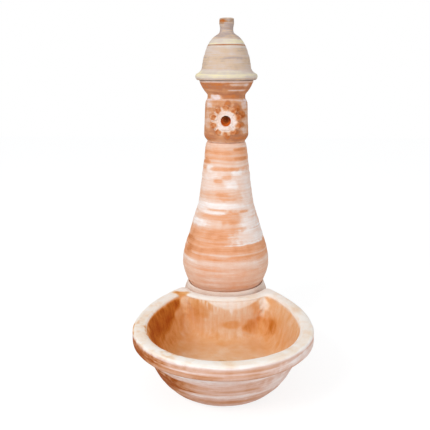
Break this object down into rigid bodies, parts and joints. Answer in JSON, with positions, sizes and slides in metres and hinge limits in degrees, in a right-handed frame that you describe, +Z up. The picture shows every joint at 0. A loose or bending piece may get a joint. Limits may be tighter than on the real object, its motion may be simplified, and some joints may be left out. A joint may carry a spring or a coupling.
{
  "type": "garden fountain",
  "caption": "Free-standing terracotta garden fountain: a hollow column with a rosette spout and a lift-off domed cap over a kidney-shaped basin, with a sump pump inside.",
  "frame": {"origin": "centre of the pedestal's flat foot on the ground, under the column's axis", "axes": "+Z up the column's axis, -Y towards the front where the basin lies, +X to the right seen from the front"},
  "size_m": [0.51, 0.7739, 1.05],
  "materials": {
    "basin_clay": "unglazed terracotta, smeared with pale slip",
    "pedestal_clay": "unglazed terracotta, pale",
    "column_clay": "unglazed terracotta with pale throwing bands",
    "head_clay": "unglazed terracotta, orange",
    "rosette_clay": "unglazed terracotta, pale on its high places",
    "spout_clay": "unglazed terracotta, wet and dark",
    "cap_clay": "unglazed terracotta, pale buff",
    "black_rubber": "matt",
    "pipe_plastic": "satin",
    "pump_plastic": "satin",
    "intake_plastic": "satin",
    "dial_plastic": "satin",
    "rotor_plastic": "satin",
    "gland_plastic": "matt",
    "drain_brass": "satin",
    "strainer_steel": "brushed",
    "clip_steel": "brushed",
    "screw_steel": "brushed",
    "shaft_steel": "polished"
  },
  "bodies": {
    "fountain": {"basin": "basin_clay", "pedestal": "pedestal_clay", "column": "column_clay", "spout_head": "head_clay", "rosette": "rosette_clay", "spout_pipe": "spout_clay", "spout_bung": "black_rubber", "spout_elbow": "pipe_plastic", "riser_pipe": "pipe_plastic", "riser_coupling": "black_rubber", "coupling_clips": "clip_steel", "drain_body": "drain_brass", "drain_gasket": "black_rubber", "drain_nut": "drain_brass", "return_elbow": "pipe_plastic", "return_pipe": "pipe_plastic", "return_grommet": "black_rubber", "pump_body": "pump_plastic", "pump_volute": "pump_plastic", "volute_seal": "black_rubber", "pump_screws": "screw_steel", "pump_intake": "intake_plastic", "rotor_shaft": "shaft_steel", "shaft_bushes": "black_rubber", "pump_feet": "black_rubber", "pump_gland": "gland_plastic", "lead_gland": "gland_plastic", "lead_gland_nut": "gland_plastic"},
    "cap": {"cap": "cap_clay"},
    "strainer": {"drain_strainer": "strainer_steel"},
    "rotor": {"pump_rotor": "rotor_plastic"},
    "dial": {"flow_dial": "dial_plastic"}
  },
  "joints": [
    {"name": "cap_lift", "type": "slide", "parent": "fountain", "child": "cap", "axis": [0, 0, 1], "range_m": [0, 0.15]},
    {"name": "strainer_lift", "type": "slide", "parent": "fountain", "child": "strainer", "axis": [0, 0, 1], "range_m": [0, 0.06]},
    {"name": "rotor_spin", "type": "hinge", "parent": "fountain", "child": "rotor", "pos_m": [0, 0.05, 0.048], "axis": [0, 1, 0], "continuous": true},
    {"name": "flow_dial_turn", "type": "hinge", "parent": "fountain", "child": "dial", "pos_m": [0, -0.014, 0.048], "axis": [0, 1, 0], "range_deg": [0, 60]}
  ]
}
